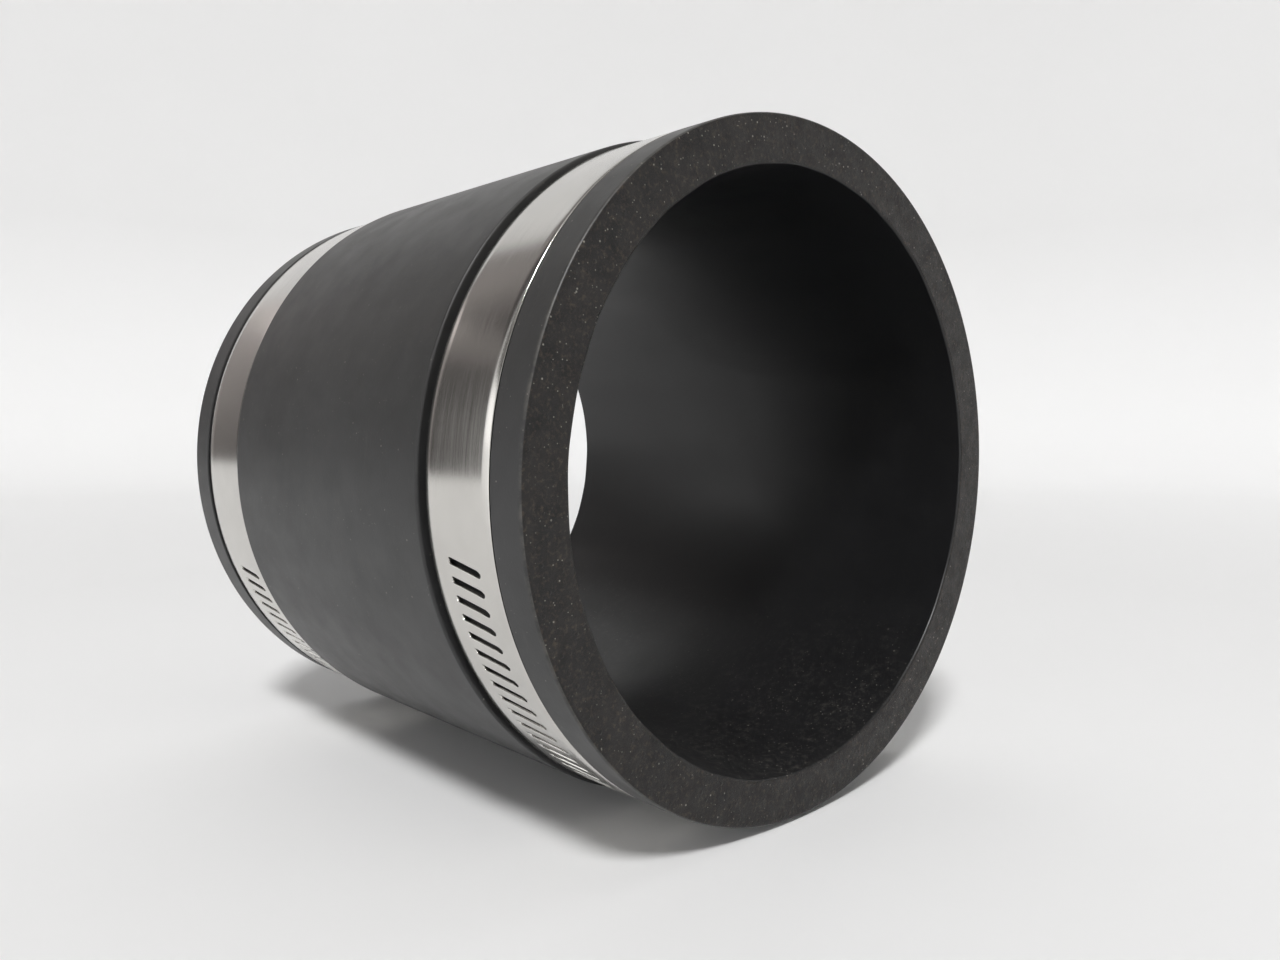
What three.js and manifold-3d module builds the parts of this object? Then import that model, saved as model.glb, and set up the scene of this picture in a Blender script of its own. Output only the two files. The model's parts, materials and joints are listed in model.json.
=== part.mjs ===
// Flexible rubber pipe coupling with two stainless worm-drive band clamps.
// Millimetres. The sleeve's axis lies along Y, +Z is up, and the origin is the sleeve's centre.
import * as THREE from "three";
import { mergeVertices } from "three/addons/utils/BufferGeometryUtils.js";
import Module from "manifold-3d";

const wasm = await Module();
wasm.setup();

// ---- sleeve ----
const boreDiameter = 90.0; // slides over a pipe 88.9 mm across
const wallThickness = 7.2; // at the rim of each end
const bodyRise = 0.6; // the stretch between the clamps stands this far above the rims
const sleeveLength = 106.0;
const rimLength = 6.2;
const grooveDepth = 0.95; // below the rim
const rimChamfer = 0.5;
const shoulderChamfer = 0.4;

// ---- band strip ----
const bandWidth = 14.2;
const bandThickness = 0.65;
const grooveSlack = 1.8; // groove width beyond the band's
const slotPitch = 2.62; // measured along the strip's outer face
const slotLength = 7.0;
const slotWidth = 0.95;
const slotTilt = THREE.MathUtils.degToRad(11);
const frontSlotsBeforeHousing = 42; // from the first slot to the one under the screw's middle
const rearSlotsBeforeHousing = 38;
const tailReach = 30.0; // free end, from the screw's middle along the strip
const tailCornerRadius = 4.0;
const fixedEndReach = 7.4; // how far the fixed end runs back under the saddle
const rampLength = 12.0; // where the strip climbs from the groove into the housing
const rampSetback = 1.2; // from the top of the climb to the saddle's edge

// ---- worm screw ----
const wormDiameter = 8.0;
const wormRootDiameter = 5.6;
const threadCrestWidth = 0.7;
const threadRootWidth = 1.5;
const neckDiameter = 4.6;
const tipReach = 0.6; // stub standing out of the far wall
const collarDiameter = 8.4;
const collarThickness = 0.8;
const headAcrossFlats = 7.9;
const headHeight = 4.2;
const driverSlotWidth = 1.3;
const driverSlotDepth = 1.6;

// ---- housing and saddle ----
const housingLength = 15.0;
const housingSheet = 0.7;
const endWall = 1.0;
const saddleLength = 15.8;
const saddleSheet = 0.8;
const earThickness = 0.6;
const earHeight = 0.5; // above the strip that runs between the ears
const tongueLength = 4.4;
const tongueHeight = 0.8;

// ---- fits, travel and placing ----
const clearance = 0.3; // between neighbouring pieces
const screwTurns = 2; // turns that the screw can make either way
const housingAngle = THREE.MathUtils.degToRad(-48); // from +X towards +Z, seen from the front
const ringSteps = 72;
const rampSteps = 8;
const wormStepsPerTurn = 12;

// ---- sizes that follow ----
const boreRadius = boreDiameter / 2;
const rimRadius = boreRadius + wallThickness;
const bodyRadius = rimRadius + bodyRise;
const grooveRadius = rimRadius - grooveDepth;
const grooveWidth = bandWidth + grooveSlack;
const ringInner = grooveRadius + clearance;
const ringOuter = ringInner + bandThickness;
const saddleSeat = ringOuter + clearance;
const rideRadius = Math.max(rimRadius, bodyRadius, ringOuter) + clearance;
const saddleTop = rideRadius + saddleSheet;
const tailInner = saddleTop + clearance;
const tailOuter = tailInner + bandThickness;
const earTop = tailOuter + earHeight;
const shoulderUnder = earTop + clearance;
const screwRadius = tailOuter + clearance + wormDiameter / 2; // sleeve's axis to screw's axis
const archInner = wormDiameter / 2 + clearance;
const archOuter = archInner + housingSheet;
const earInner = bandWidth / 2 + clearance;
const earOuter = earInner + earThickness;
const legInner = earOuter + clearance;
const legOuter = legInner + housingSheet;
const wallHole = neckDiameter / 2 + clearance;
const wormHalf = housingLength / 2 - endWall - clearance;
const slotStep = slotPitch / ringOuter; // radians
const stripEntry = (housingLength / 2 - endWall) / tailInner; // strip's inner end, inside the housing
const travelAngle = (screwTurns * slotPitch) / ((tailInner + tailOuter) / 2);

// Merged copy that holds only position, which manifold needs.
function toSolid(geometry) {
  const plain = geometry.clone();
  plain.deleteAttribute("normal");
  plain.deleteAttribute("uv");
  const merged = mergeVertices(plain, 1e-4);
  return new wasm.Manifold(
    new wasm.Mesh({
      numProp: 3,
      vertProperties: new Float32Array(merged.attributes.position.array),
      triVerts: new Uint32Array(merged.index.array),
    })
  );
}

function toGeometry(solid) {
  const mesh = solid.getMesh();
  const geometry = new THREE.BufferGeometry();
  geometry.setAttribute("position", new THREE.BufferAttribute(mesh.vertProperties, 3));
  geometry.setIndex(new THREE.BufferAttribute(mesh.triVerts, 1));
  geometry.computeVertexNormals();
  return geometry;
}

// Across the sleeve, angles count from the housing's middle towards the screw's head.
function polar(radius, angle) {
  return new THREE.Vector2(-radius * Math.sin(angle), radius * Math.cos(angle));
}

// A plate drawn in X and Z, and width wide along Y about the middle.
function plateAcross(shape, width) {
  const geometry = new THREE.ExtrudeGeometry(shape, { depth: width, bevelEnabled: false, curveSegments: 10 });
  geometry.rotateX(Math.PI / 2);
  geometry.translate(0, width / 2, 0);
  return geometry;
}

// A plate drawn in Y and Z, and length long along X about the middle.
function plateAlong(shape, length) {
  const geometry = new THREE.ExtrudeGeometry(shape, { depth: length, bevelEnabled: false, curveSegments: 8 });
  geometry.rotateY(Math.PI / 2);
  geometry.rotateX(Math.PI / 2);
  geometry.translate(-length / 2, 0, 0);
  return geometry;
}

function stepsBetween(from, to) {
  return Math.max(4, Math.ceil(((to - from) / (2 * Math.PI)) * ringSteps));
}

function anglesBetween(from, to, steps = stepsBetween(from, to)) {
  return Array.from({ length: steps + 1 }, (_, i) => THREE.MathUtils.lerp(from, to, i / steps));
}

// A curved bar through a list of angles. innerAt gives its inner radius at an angle.
function curvedBar(angles, innerAt, thickness, width) {
  const inside = angles.map((angle) => polar(innerAt(angle), angle));
  const outside = angles.map((angle) => polar(innerAt(angle) + thickness, angle));
  return plateAcross(new THREE.Shape([...outside, ...inside.reverse()]), width);
}

function arcBar(from, to, inner, thickness, width) {
  return curvedBar(anglesBetween(from, to), () => inner, thickness, width);
}

// ---- sleeve ----
function sleeveGeometry() {
  const end = sleeveLength / 2;
  const rim = end - rimLength;
  const shoulder = rim - grooveWidth;
  const half = [
    [boreRadius, end - rimChamfer],
    [boreRadius + rimChamfer, end],
    [rimRadius - rimChamfer, end],
    [rimRadius, end - rimChamfer],
    [rimRadius, rim],
    [grooveRadius, rim],
    [grooveRadius, shoulder],
    [bodyRadius - shoulderChamfer, shoulder],
    [bodyRadius, shoulder - shoulderChamfer],
  ];
  const rear = half.map(([radius, y]) => new THREE.Vector2(radius, y));
  const front = half.map(([radius, y]) => new THREE.Vector2(radius, -y)).reverse();
  const profile = [...front, ...rear, front[0].clone()].reverse();
  return new THREE.LatheGeometry(profile, ringSteps);
}

// ---- band ----
// A slot with round ends, tilted to suit the screw's thread, cut straight through the strip.
function slotCutter(angle) {
  const end = slotLength / 2 - slotWidth / 2;
  const shape = new THREE.Shape();
  shape.absarc(0, end, slotWidth / 2, 0, Math.PI);
  shape.absarc(0, -end, slotWidth / 2, Math.PI, 2 * Math.PI);
  const depth = tailOuter - ringInner + 2 * clearance;
  const geometry = new THREE.ExtrudeGeometry(shape, { depth, bevelEnabled: false, curveSegments: 2 });
  geometry.rotateZ(-slotTilt);
  geometry.translate(0, 0, ringInner - clearance);
  geometry.rotateY(-angle);
  return toSolid(geometry);
}

function cutSlots(strip, firstSlot, lastSlot) {
  for (let slot = firstSlot; slot <= lastSlot; slot++) {
    strip = strip.subtract(slotCutter(slot * slotStep));
  }
  return strip;
}

// The slots keep clear of a cut end of the strip by half a pitch.
function slotBefore(angle) {
  return Math.floor(angle / slotStep - 0.75);
}

// The ring leaves the saddle on the head's side, goes round and climbs into the housing.
function bandGeometry(slotsBeforeHousing) {
  const from = -fixedEndReach / ringInner;
  const to = 2 * Math.PI - stripEntry;
  const rampEnd = 2 * Math.PI - (saddleLength / 2 + rampSetback) / saddleTop;
  const rampStart = rampEnd - rampLength / ringOuter;
  const innerAt = (angle) => {
    const climb = THREE.MathUtils.smoothstep(angle, rampStart, rampEnd);
    return THREE.MathUtils.lerp(ringInner, tailInner, climb);
  };
  const angles = [
    ...anglesBetween(from, rampStart),
    ...anglesBetween(rampStart, rampEnd, rampSteps).slice(1),
    ...anglesBetween(rampEnd, to, 2).slice(1),
  ];
  const ring = toSolid(curvedBar(angles, innerAt, bandThickness, bandWidth));
  return toGeometry(cutSlots(ring, -slotsBeforeHousing, slotBefore(-stripEntry)));
}

// What stays of a square corner outside its rounding, for both corners of the free end.
function tailCornerCutters(endAngle) {
  const cutters = [];
  for (const side of [-1, 1]) {
    const shape = new THREE.Shape();
    shape.moveTo(-clearance, clearance);
    shape.lineTo(-clearance, 0);
    shape.absarc(tailCornerRadius, -tailCornerRadius, tailCornerRadius, Math.PI, Math.PI / 2, true);
    shape.lineTo(tailCornerRadius, clearance);
    const depth = bandThickness + 2;
    const geometry = new THREE.ExtrudeGeometry(shape, { depth, bevelEnabled: false, curveSegments: 4 });
    if (side < 0) geometry.rotateX(Math.PI).translate(0, 0, depth);
    geometry.translate(0, (side * bandWidth) / 2, tailInner - 1);
    geometry.rotateY(-endAngle);
    cutters.push(toSolid(geometry));
  }
  return cutters;
}

// The strip's free end, past the strip that goes in by the travel the screw gives it.
function tailGeometry() {
  const from = -stripEntry + clearance / tailInner + travelAngle;
  const to = tailReach / tailInner;
  let tail = toSolid(arcBar(from, to, tailInner, bandThickness, bandWidth));
  for (const cutter of tailCornerCutters(to)) tail = tail.subtract(cutter);
  const first = Math.ceil(from / slotStep + 0.75);
  const last = slotBefore(to - tailCornerRadius / 2 / tailInner);
  return toGeometry(cutSlots(tail, first, last));
}

// ---- saddle ----
function tongueSolid(side) {
  const reach = legOuter - earInner - earThickness / 2;
  const box = new THREE.BoxGeometry(tongueLength, reach, tongueHeight);
  const y = side * (earInner + earThickness / 2 + reach / 2);
  return toSolid(box.translate(0, y, tongueMiddle()));
}

function tongueMiddle() {
  return rideRadius + saddleSheet + tongueHeight / 2;
}

function saddleGeometry() {
  const half = saddleLength / 2 / saddleTop;
  const floorPlate = arcBar(-half, half, saddleSeat, saddleTop - saddleSeat, bandWidth - 2 * clearance);
  const wings = arcBar(-half, half, rideRadius, saddleTop - rideRadius, 2 * earOuter);
  let saddle = toSolid(floorPlate).add(toSolid(wings));
  for (const side of [-1, 1]) {
    const ear = arcBar(-half, half, rideRadius, earTop - rideRadius, earThickness);
    ear.translate(0, side * (earInner + earThickness / 2), 0);
    saddle = saddle.add(toSolid(ear)).add(tongueSolid(side));
  }
  return toGeometry(saddle);
}

// ---- housing ----
// One sheet bent into an arch over the screw, flat shoulders and a leg down each side.
function housingOutline() {
  const shape = new THREE.Shape();
  shape.moveTo(-legOuter, rideRadius);
  shape.lineTo(-legInner, rideRadius);
  shape.lineTo(-legInner, shoulderUnder);
  shape.lineTo(-archInner, shoulderUnder);
  shape.lineTo(-archInner, screwRadius);
  shape.absarc(0, screwRadius, archInner, Math.PI, 0, true);
  shape.lineTo(archInner, shoulderUnder);
  shape.lineTo(legInner, shoulderUnder);
  shape.lineTo(legInner, rideRadius);
  shape.lineTo(legOuter, rideRadius);
  shape.lineTo(legOuter, shoulderUnder + housingSheet);
  shape.lineTo(archOuter, shoulderUnder + housingSheet);
  shape.lineTo(archOuter, screwRadius);
  shape.absarc(0, screwRadius, archOuter, 0, Math.PI, false);
  shape.lineTo(-archOuter, shoulderUnder + housingSheet);
  shape.lineTo(-legOuter, shoulderUnder + housingSheet);
  return shape;
}

// The wall that closes the arch at each end and carries the screw.
function wallSolid(x) {
  const edge = archInner + housingSheet / 2;
  const shape = new THREE.Shape();
  shape.moveTo(-edge, shoulderUnder);
  shape.lineTo(edge, shoulderUnder);
  shape.lineTo(edge, screwRadius);
  shape.absarc(0, screwRadius, edge, 0, Math.PI, false);
  const hole = new THREE.Path();
  hole.absarc(0, screwRadius, wallHole, 0, 2 * Math.PI, true);
  shape.holes.push(hole);
  return toSolid(plateAlong(shape, endWall).translate(x, 0, 0));
}

function housingGeometry() {
  let housing = toSolid(plateAlong(housingOutline(), housingLength));
  const wallPlace = housingLength / 2 - endWall / 2;
  housing = housing.add(wallSolid(-wallPlace)).add(wallSolid(wallPlace));
  const windowLength = tongueLength + 2 * clearance;
  const windowHeight = tongueHeight + 2 * clearance;
  const windows = new THREE.BoxGeometry(windowLength, 2 * legOuter + 2, windowHeight);
  housing = housing.subtract(toSolid(windows.translate(0, 0, tongueMiddle())));
  return toGeometry(housing);
}

// ---- worm screw ----
// A straight bar of the thread's section, wound round the screw's axis as a right-hand helix.
function threadSolid() {
  const turns = (2 * wormHalf - threadRootWidth) / slotPitch;
  const steps = Math.ceil(turns * wormStepsPerTurn);
  const root = wormRootDiameter / 2 - clearance;
  const depth = wormDiameter / 2 - root;
  const section = new THREE.Shape();
  section.moveTo(-threadRootWidth / 2, 0);
  section.lineTo(threadRootWidth / 2, 0);
  section.lineTo(threadCrestWidth / 2, depth);
  section.lineTo(-threadCrestWidth / 2, depth);
  const bar = new THREE.ExtrudeGeometry(section, { depth: turns, steps, bevelEnabled: false });
  const position = bar.attributes.position;
  for (let i = 0; i < position.count; i++) {
    const turn = position.getZ(i) - turns / 2;
    const fade = THREE.MathUtils.smoothstep(turns / 2 - Math.abs(turn), 0, 0.4);
    const radius = root + position.getY(i) * THREE.MathUtils.lerp(0.3, 1, fade);
    const angle = turn * 2 * Math.PI - Math.PI / 2;
    const along = turn * slotPitch + position.getX(i);
    position.setXYZ(i, along, radius * Math.cos(angle), radius * Math.sin(angle));
  }
  return toSolid(bar);
}

// Everything turned on the screw: tip, worm core, neck and collar, with its head towards -X.
function screwCore() {
  const wallOut = housingLength / 2;
  const collarStart = wallOut + clearance;
  const profile = [
    [0, -wallOut - tipReach],
    [neckDiameter / 2, -wallOut - tipReach],
    [neckDiameter / 2, -wormHalf],
    [wormRootDiameter / 2, -wormHalf],
    [wormRootDiameter / 2, wormHalf],
    [neckDiameter / 2, wormHalf],
    [neckDiameter / 2, collarStart],
    [collarDiameter / 2, collarStart],
    [collarDiameter / 2, collarStart + collarThickness],
    [0, collarStart + collarThickness],
  ].map(([radius, along]) => new THREE.Vector2(radius, along));
  return toSolid(new THREE.LatheGeometry(profile, 24).rotateZ(Math.PI / 2));
}

function screwGeometry() {
  const headStart = housingLength / 2 + clearance + collarThickness / 2;
  const headLength = headHeight + collarThickness / 2;
  const cornerRadius = headAcrossFlats / Math.sqrt(3);
  const hexagon = new THREE.CylinderGeometry(cornerRadius, cornerRadius, headLength, 6);
  hexagon.rotateZ(Math.PI / 2).translate(-headStart - headLength / 2, 0, 0);
  const slot = new THREE.BoxGeometry(2 * driverSlotDepth, headAcrossFlats * 2, driverSlotWidth);
  slot.translate(-headStart - headLength, 0, 0);
  const screw = screwCore().add(threadSolid()).add(toSolid(hexagon)).subtract(toSolid(slot));
  return toGeometry(screw);
}

// ---- assembly ----
const rubber = new THREE.MeshStandardMaterial({ color: 0x1f1f20, roughness: 0.62, metalness: 0 });
const bandSteel = new THREE.MeshStandardMaterial({ color: 0xc9c8c4, roughness: 0.3, metalness: 1 });
const housingSteel = new THREE.MeshStandardMaterial({ color: 0xc2c2c0, roughness: 0.36, metalness: 1 });
const screwSteel = new THREE.MeshStandardMaterial({ color: 0xb4b5b6, roughness: 0.34, metalness: 1 });

function addPiece(parent, name, geometry, material) {
  const mesh = new THREE.Mesh(geometry, material);
  mesh.name = name;
  parent.add(mesh);
  return mesh;
}

function addClamp(parent, prefix, y, slotsBeforeHousing) {
  const clamp = new THREE.Group();
  clamp.position.y = y;
  clamp.rotation.y = Math.PI / 2 - housingAngle;
  addPiece(clamp, `${prefix}_band`, bandGeometry(slotsBeforeHousing), bandSteel);
  addPiece(clamp, `${prefix}_band_tail`, tailGeometry(), bandSteel);
  addPiece(clamp, `${prefix}_saddle`, saddleGeometry(), housingSteel);
  addPiece(clamp, `${prefix}_housing`, housingGeometry(), housingSteel);
  const screw = addPiece(clamp, `${prefix}_screw`, screwGeometry(), screwSteel);
  screw.position.z = screwRadius;
  parent.add(clamp);
}

const coupling = new THREE.Group();
addPiece(coupling, "sleeve", sleeveGeometry(), rubber);

// Both bands sit towards the front of their grooves.
const grooveMiddle = sleeveLength / 2 - rimLength - grooveWidth / 2;
const bandShift = grooveSlack / 2 - clearance;
addClamp(coupling, "front", -grooveMiddle - bandShift, frontSlotsBeforeHousing);
addClamp(coupling, "rear", grooveMiddle - bandShift, rearSlotsBeforeHousing);

export default coupling;
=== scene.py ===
"""Flexible pipe coupling: a rubber sleeve with a worm-drive band clamp near each end.

Lengths are in metres. The sleeve's axis lies along Y, +Z is up, and the origin is the sleeve's centre.
"""

import json
import math

import bmesh
import bpy
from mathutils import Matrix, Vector


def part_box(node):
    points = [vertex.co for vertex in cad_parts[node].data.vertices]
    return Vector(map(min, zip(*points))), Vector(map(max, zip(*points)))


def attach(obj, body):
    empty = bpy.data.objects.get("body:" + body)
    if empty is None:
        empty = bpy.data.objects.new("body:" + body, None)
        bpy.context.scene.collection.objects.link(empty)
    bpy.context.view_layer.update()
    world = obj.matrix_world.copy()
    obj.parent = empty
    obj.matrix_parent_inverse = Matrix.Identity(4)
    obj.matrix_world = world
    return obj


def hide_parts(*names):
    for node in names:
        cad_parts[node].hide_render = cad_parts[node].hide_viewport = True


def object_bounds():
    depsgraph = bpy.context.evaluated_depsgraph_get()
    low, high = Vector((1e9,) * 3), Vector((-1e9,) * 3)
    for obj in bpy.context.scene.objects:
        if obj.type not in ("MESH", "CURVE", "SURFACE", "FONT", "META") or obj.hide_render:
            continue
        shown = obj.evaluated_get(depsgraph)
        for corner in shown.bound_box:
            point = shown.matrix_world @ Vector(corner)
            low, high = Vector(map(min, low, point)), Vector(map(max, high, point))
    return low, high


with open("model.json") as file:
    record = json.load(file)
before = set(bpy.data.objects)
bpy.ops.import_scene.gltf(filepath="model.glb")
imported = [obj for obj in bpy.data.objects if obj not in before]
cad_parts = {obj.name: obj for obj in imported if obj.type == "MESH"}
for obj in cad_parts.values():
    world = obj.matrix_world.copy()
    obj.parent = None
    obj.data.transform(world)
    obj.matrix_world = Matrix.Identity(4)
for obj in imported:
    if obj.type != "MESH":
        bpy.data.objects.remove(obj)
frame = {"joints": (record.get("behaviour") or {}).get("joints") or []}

bl_info = {
    "name": "Flexible Pipe Coupling",
    "version": (1, 0, 0),
    "blender": (4, 5, 0),
    "location": "3D View > Sidebar > Coupling",
    "description": "Makes a rubber pipe coupling with two band clamps, and the stage it stands on",
    "category": "Add Mesh",
}

MM = 0.001
CAD_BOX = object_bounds()
CLAMPS = ("front", "rear")


# ---- what the frame gives ----
def joint(name):
    return next(j for j in frame["joints"] if j["name"] == name)


def clamp_middle(clamp):
    """Where a clamp's band is centred along the sleeve."""
    low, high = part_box(f"{clamp}_band")
    return (low.y + high.y) / 2


SCREW_POINT = joint("front_screw_turn")["pos_m"]
SCREW_RADIUS = math.hypot(SCREW_POINT[0], SCREW_POINT[2])
HOUSING_ANGLE = math.atan2(SCREW_POINT[2], SCREW_POINT[0])
SLEEVE_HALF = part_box("sleeve")[1].y
BODY_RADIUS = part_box("sleeve")[1].x
BAND_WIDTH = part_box("front_band")[1].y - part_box("front_band")[0].y


# ---- what a user can change ----
def length(name, description, default):
    return bpy.props.FloatProperty(
        name=name, description=description, default=default,
        min=0.0, precision=5, unit="LENGTH", subtype="DISTANCE",
    )


def number(name, description, default):
    return bpy.props.IntProperty(name=name, description=description, default=default, min=1)


def colour(name, description, default):
    return bpy.props.FloatVectorProperty(
        name=name, description=description, default=default,
        size=3, min=0.0, max=1.0, subtype="COLOR",
    )


class SleeveSizes(bpy.types.PropertyGroup):
    """Sizes of the rubber sleeve."""

    bore_radius: length("Bore radius", "Inside radius of the sleeve", 45.0 * MM)
    rim_radius: length("Rim radius", "Outside radius of the rim at each end", 52.2 * MM)
    rim_length: length("Rim length", "Length of the rim outside each groove", 6.2 * MM)
    groove_depth: length("Groove depth", "Depth of each groove below the rim", 0.95 * MM)
    groove_width: length("Groove width", "Width of each groove", 16.0 * MM)
    rim_edge: length("Rim edge", "Rounding of the rim's outer edge", 0.55 * MM)
    bore_edge: length("Bore edge", "Rounding of the bore's edge", 0.5 * MM)
    shoulder_edge: length("Shoulder edge", "Rounding of the body's edge beside a groove", 0.4 * MM)


class ClampSizes(bpy.types.PropertyGroup):
    """Sizes of the two band clamps."""

    thickness: length("Band thickness", "Thickness of the steel strip", 0.65 * MM)
    clearance: length("Clearance", "Gap between neighbouring pieces", 0.3 * MM)
    strip_edge: length("Strip edge", "Rounding of the strip's long edges", 0.14 * MM)
    slot_pitch: length("Slot pitch", "Distance between slots along the strip", 2.62 * MM)
    slot_length: length("Slot length", "Length of a slot across the strip", 7.0 * MM)
    slot_width: length("Slot width", "Width of a slot along the strip", 0.95 * MM)
    slot_tilt: bpy.props.FloatProperty(
        name="Slot tilt", description="Slant of the slots", default=math.radians(11),
        subtype="ANGLE", unit="ROTATION",
    )
    front_slots: number("Front slots", "Slots from the front band's first one to its screw", 42)
    rear_slots: number("Rear slots", "Slots from the rear band's first one to its screw", 38)
    tail_reach: length("Tail reach", "Free end, from the screw's middle along the strip", 30.0 * MM)
    tail_corner: length("Tail corner", "Rounding of the free end's corners", 4.0 * MM)
    sheet: length("Housing sheet", "Thickness of the housing's sheet", 0.7 * MM)
    housing_length: length("Housing length", "Length of the housing along the strip", 15.0 * MM)
    worm_radius: length("Worm radius", "Outside radius of the screw's thread", 4.0 * MM)
    root_radius: length("Root radius", "Radius at the bottom of the thread", 2.8 * MM)
    neck_radius: length("Neck radius", "Radius of the screw where it passes the housing's walls", 2.3 * MM)
    head_across_flats: length("Head across flats", "Size of the hexagon head", 7.9 * MM)
    head_height: length("Head height", "Height of the hexagon head", 4.2 * MM)


class CouplingColours(bpy.types.PropertyGroup):
    """Colours of the rubber and the steel."""

    rubber: colour("Rubber", "Moulded outside of the sleeve", (0.0145, 0.0145, 0.015))
    rubber_cut: colour("Cut rubber", "Cut ends of the sleeve", (0.0062, 0.0052, 0.0045))
    rubber_bore: colour("Bore rubber", "Inside of the sleeve", (0.0065, 0.0065, 0.0072))
    # The dust colour also paints the sleeve's lighter top, partly as painted light, and the painted
    # highlight along its rims.
    dust: colour("Dust", "Specks lying on the rubber", (0.34, 0.32, 0.28))
    band: colour("Band steel", "Rolled stainless strip", (0.66, 0.645, 0.615))
    housing: colour("Housing steel", "Pressed stainless sheet", (0.60, 0.595, 0.58))
    screw: colour("Screw steel", "Turned and rolled steel", (0.55, 0.55, 0.55))
    floor: colour("Floor", "The floor and the backdrop", (0.86, 0.86, 0.86))


def sleeve_sizes():
    return bpy.context.scene.coupling_sleeve


def clamp_sizes():
    return bpy.context.scene.coupling_clamp


def colours():
    return bpy.context.scene.coupling_colours


# ---- radii that stack up under the screw ----
SADDLE_SHEET = 0.8 * MM
EAR_THICKNESS = 0.6 * MM
EAR_HEIGHT = 0.5 * MM  # above the strip that runs between the ears


class Stack:
    """Radii of the layers of a clamp, from the groove outwards."""

    def __init__(self):
        rubber, clamp = sleeve_sizes(), clamp_sizes()
        gap = clamp.clearance
        self.ring_inner = rubber.rim_radius - rubber.groove_depth + gap
        self.ring_outer = self.ring_inner + clamp.thickness
        self.seat = self.ring_outer + gap
        self.ride = BODY_RADIUS + gap
        self.saddle_top = self.ride + SADDLE_SHEET
        self.tail_inner = self.saddle_top + gap
        self.tail_outer = self.tail_inner + clamp.thickness
        self.ear_top = self.tail_outer + EAR_HEIGHT
        self.shoulder = self.ear_top + gap
        self.ear_inner = BAND_WIDTH / 2 + gap
        self.ear_outer = self.ear_inner + EAR_THICKNESS
        self.leg_inner = self.ear_outer + gap
        self.leg_outer = self.leg_inner + clamp.sheet
        self.arch_inner = clamp.worm_radius + gap
        self.arch_outer = self.arch_inner + clamp.sheet


# ---- mesh helpers ----
def new_object(name, verts, faces, material_indices=None):
    mesh = bpy.data.meshes.new(name)
    mesh.from_pydata(verts, [], faces)
    if material_indices:
        mesh.polygons.foreach_set("material_index", material_indices)
    mesh.validate()
    obj = bpy.data.objects.new(name, mesh)
    bpy.context.scene.collection.objects.link(obj)
    return obj


def outward(obj):
    """Turns every face of a closed mesh outward."""
    bm = bmesh.new()
    bm.from_mesh(obj.data)
    bmesh.ops.remove_doubles(bm, verts=bm.verts, dist=1e-7)
    bmesh.ops.recalc_face_normals(bm, faces=bm.faces)
    bm.to_mesh(obj.data)
    bm.free()
    return obj


def soften(obj, angle=38):
    """Smooth shading with sharp edges kept."""
    obj.data.shade_smooth()
    obj.data.set_sharp_from_angle(angle=math.radians(angle))
    return obj


def apply_modifiers(obj):
    graph = bpy.context.evaluated_depsgraph_get()
    mesh = bpy.data.meshes.new_from_object(obj.evaluated_get(graph))
    obj.modifiers.clear()
    old = obj.data
    obj.data = mesh
    bpy.data.meshes.remove(old)
    return obj


def bevel(obj, width, segments=2, angle=40):
    modifier = obj.modifiers.new("edge", "BEVEL")
    modifier.width = width
    modifier.segments = segments
    modifier.limit_method = "ANGLE"
    modifier.angle_limit = math.radians(angle)
    modifier.use_clamp_overlap = True
    return apply_modifiers(obj)


def combine(obj, tool, operation):
    """Joins, cuts or keeps what two closed solids share, and removes the tool."""
    modifier = obj.modifiers.new("combine", "BOOLEAN")
    modifier.operation = operation
    modifier.solver = "EXACT"
    modifier.object = tool
    apply_modifiers(obj)
    bpy.data.objects.remove(tool)
    return obj


def arc_points(centre, radius, start, end, steps):
    angles = [start + (end - start) * i / steps for i in range(steps + 1)]
    return [(centre[0] + radius * math.cos(a), centre[1] + radius * math.sin(a)) for a in angles]


def rounded(corners, steps=4, support=0.15 * MM):
    """A closed outline with its corners rounded. Each corner is (a, b, radius)."""
    points = []
    count = len(corners)
    for i, (a, b, radius) in enumerate(corners):
        here = Vector((a, b))
        if radius <= 0:
            points.append(here)
            continue
        before = Vector(corners[i - 1][:2]) - here
        after = Vector(corners[(i + 1) % count][:2]) - here
        reach_in, reach_out = before.normalized() * radius, after.normalized() * radius
        room = min(before.length, after.length) / 2
        if radius + support < room:
            points.append(here + before.normalized() * (radius + support))
        for step in range(steps + 1):
            t = step / steps
            start, end = (1 - t) ** 2 * (here + reach_in), t * t * (here + reach_out)
            points.append(start + 2 * t * (1 - t) * here + end)
        if radius + support < room:
            points.append(here + after.normalized() * (radius + support))
    return points


def revolve_mesh(outline, segments):
    """Turns a closed outline of (radius, along) round the Y axis."""
    count = len(outline)
    verts, faces = [], []
    for s in range(segments):
        angle = 2 * math.pi * s / segments
        verts += [(p[0] * math.cos(angle), p[1], p[0] * math.sin(angle)) for p in outline]
    for s in range(segments):
        a, b = s * count, ((s + 1) % segments) * count
        for i in range(count):
            j = (i + 1) % count
            faces.append((a + i, a + j, b + j, b + i))
    return verts, faces


def swept_faces(count, steps):
    """Faces of a closed outline of count points, carried on in steps, with both ends closed."""
    faces = [tuple(range(count)), tuple(range(steps * count, (steps + 1) * count))]
    for s in range(steps):
        for i in range(count):
            j = (i + 1) % count
            faces.append((s * count + i, s * count + j, (s + 1) * count + j, (s + 1) * count + i))
    return faces


def at_angle(radius, angle, y):
    """A point on the clamp. Angles count from the housing's middle towards the screw's head."""
    turned = HOUSING_ANGLE + angle
    return (radius * math.cos(turned), y, radius * math.sin(turned))


def at_housing(along, across, height):
    """A point near the housing: along the strip, across it, and out from the sleeve's axis."""
    cos, sin = math.cos(HOUSING_ANGLE), math.sin(HOUSING_ANGLE)
    return (height * cos - along * sin, across, height * sin + along * cos)


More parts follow.
